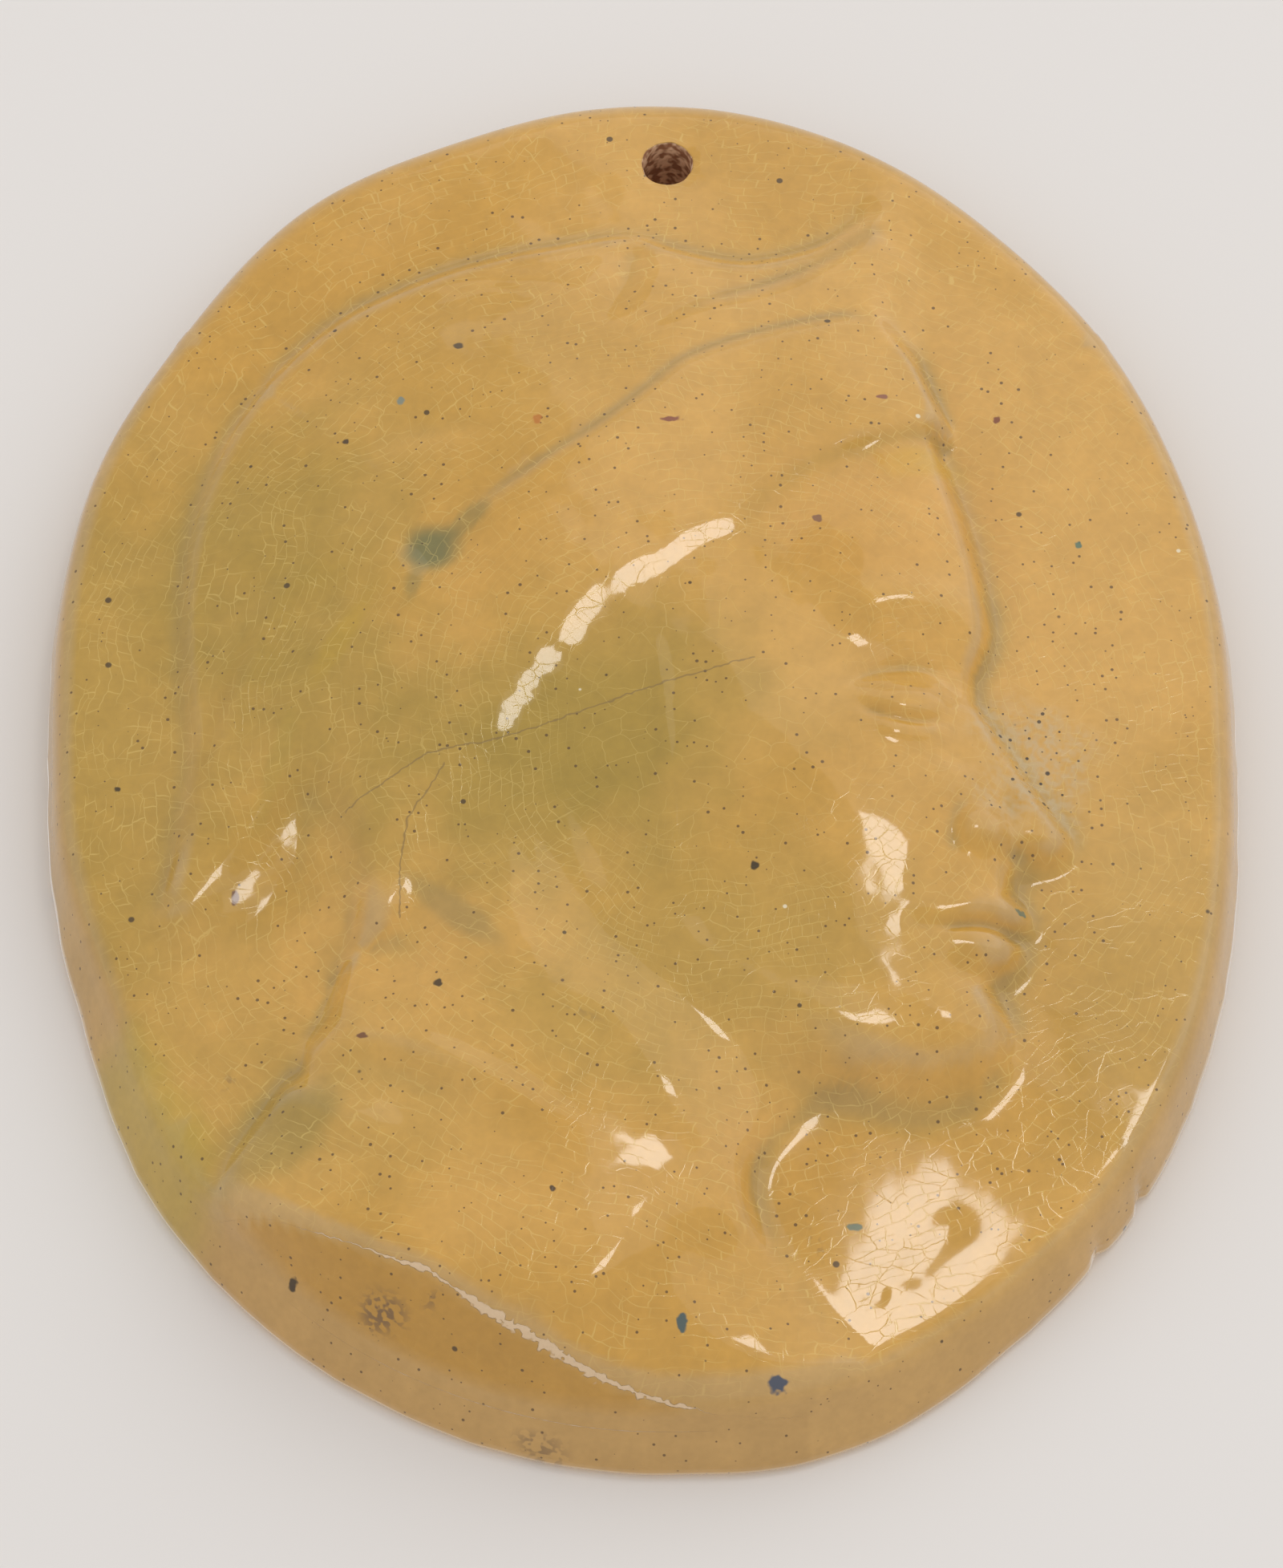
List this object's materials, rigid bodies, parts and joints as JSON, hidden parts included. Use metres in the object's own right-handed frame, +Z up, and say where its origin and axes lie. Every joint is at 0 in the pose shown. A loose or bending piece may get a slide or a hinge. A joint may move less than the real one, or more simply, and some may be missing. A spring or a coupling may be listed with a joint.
{
  "type": "decorative wall plaque",
  "caption": "Oval glazed earthenware wall plaque with a low-relief head in profile wearing a soft folded cap, pierced near the top with a hanging hole.",
  "frame": {"origin": "centre of the hanging hole on the plane of the flat back, where the nail or hook meets the wall", "axes": "+Z up as hung, the relief faces -Y, +Y runs into the wall, +X to the viewer's right"},
  "size_m": [0.1969, 0.0288, 0.2585],
  "materials": {
    "glaze": "thick gloss mustard-yellow glaze, crackled, pooling greenish"
  },
  "bodies": {
    "root": {"plaque": "glaze"}
  },
  "joints": []
}
